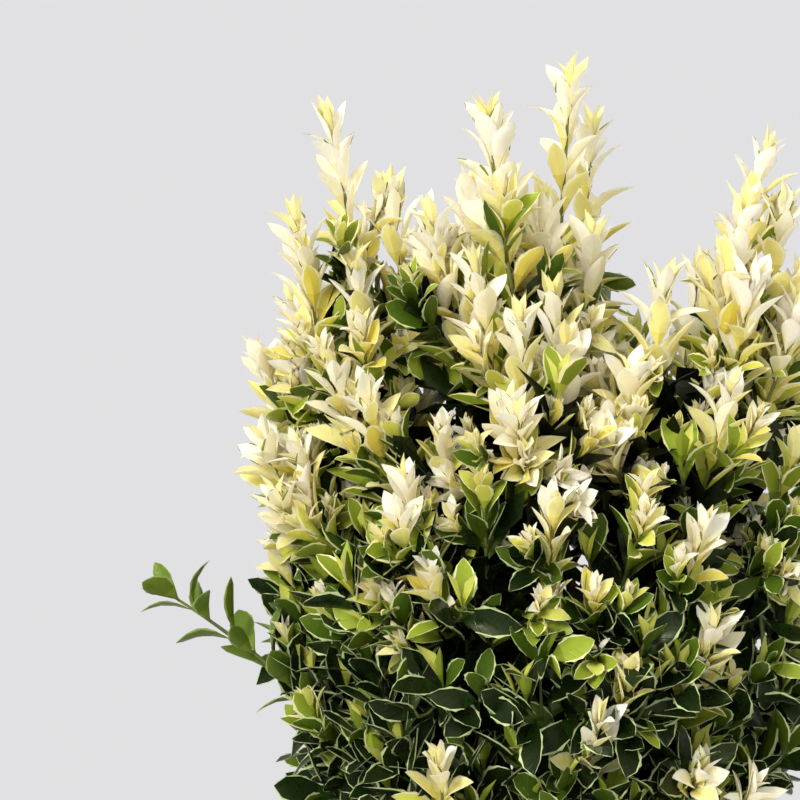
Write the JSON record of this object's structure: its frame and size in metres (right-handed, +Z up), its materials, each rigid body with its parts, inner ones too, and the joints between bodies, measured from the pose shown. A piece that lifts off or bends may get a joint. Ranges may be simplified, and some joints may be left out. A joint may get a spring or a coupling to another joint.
{
  "type": "potted japanese spindle",
  "caption": "Small upright evergreen shrub with dense cream-tipped leafy spires above dark green foliage, on a short trunk with boughs, in a plain tapered clay pot.",
  "frame": {"origin": "centre of the pot's flat underside, where the plant stands", "axes": "+Z up along the trunk, +X to the right and -Y towards the front in the pictured view"},
  "size_m": [0.3465, 0.2985, 0.6183],
  "materials": {
    "fired_clay": "matt, fine grained",
    "compost": "matt, crumbly",
    "bark": "matt, ridged",
    "foliage": "satin"
  },
  "bodies": {
    "root": {"bough_back_centre": "bark", "bough_back_left": "bark", "bough_back_left_spire": "bark", "bough_back_right": "bark", "bough_back_right_spire": "bark", "bough_centre_front": "bark", "bough_centre_spire": "bark", "bough_left_front": "bark", "bough_left_shoulder": "bark", "bough_left_spire": "bark", "bough_left_sprig": "bark", "bough_low_back_left": "bark", "bough_low_back_right": "bark", "bough_low_front": "bark", "bough_low_left": "bark", "bough_low_left_front": "bark", "bough_low_right": "bark", "bough_low_right_front": "bark", "bough_middle_front": "bark", "bough_right_corner": "bark", "bough_right_front": "bark", "bough_right_inner_spire": "bark", "bough_right_side": "bark", "bough_right_spire": "bark", "bough_tall_spire": "bark", "compost": "compost", "mass_back_centre": "foliage", "mass_back_left": "foliage", "mass_back_left_spire": "foliage", "mass_back_right": "foliage", "mass_back_right_spire": "foliage", "mass_centre_front": "foliage", "mass_centre_spire": "foliage", "mass_left_front": "foliage", "mass_left_shoulder": "foliage", "mass_left_spire": "foliage", "mass_left_sprig": "foliage", "mass_low_back_left": "foliage", "mass_low_back_right": "foliage", "mass_low_front": "foliage", "mass_low_left": "foliage", "mass_low_left_front": "foliage", "mass_low_right": "foliage", "mass_low_right_front": "foliage", "mass_middle_front": "foliage", "mass_right_corner": "foliage", "mass_right_front": "foliage", "mass_right_inner_spire": "foliage", "mass_right_side": "foliage", "mass_right_spire": "foliage", "mass_tall_spire": "foliage", "pot": "fired_clay", "trunk": "bark"}
  },
  "joints": []
}
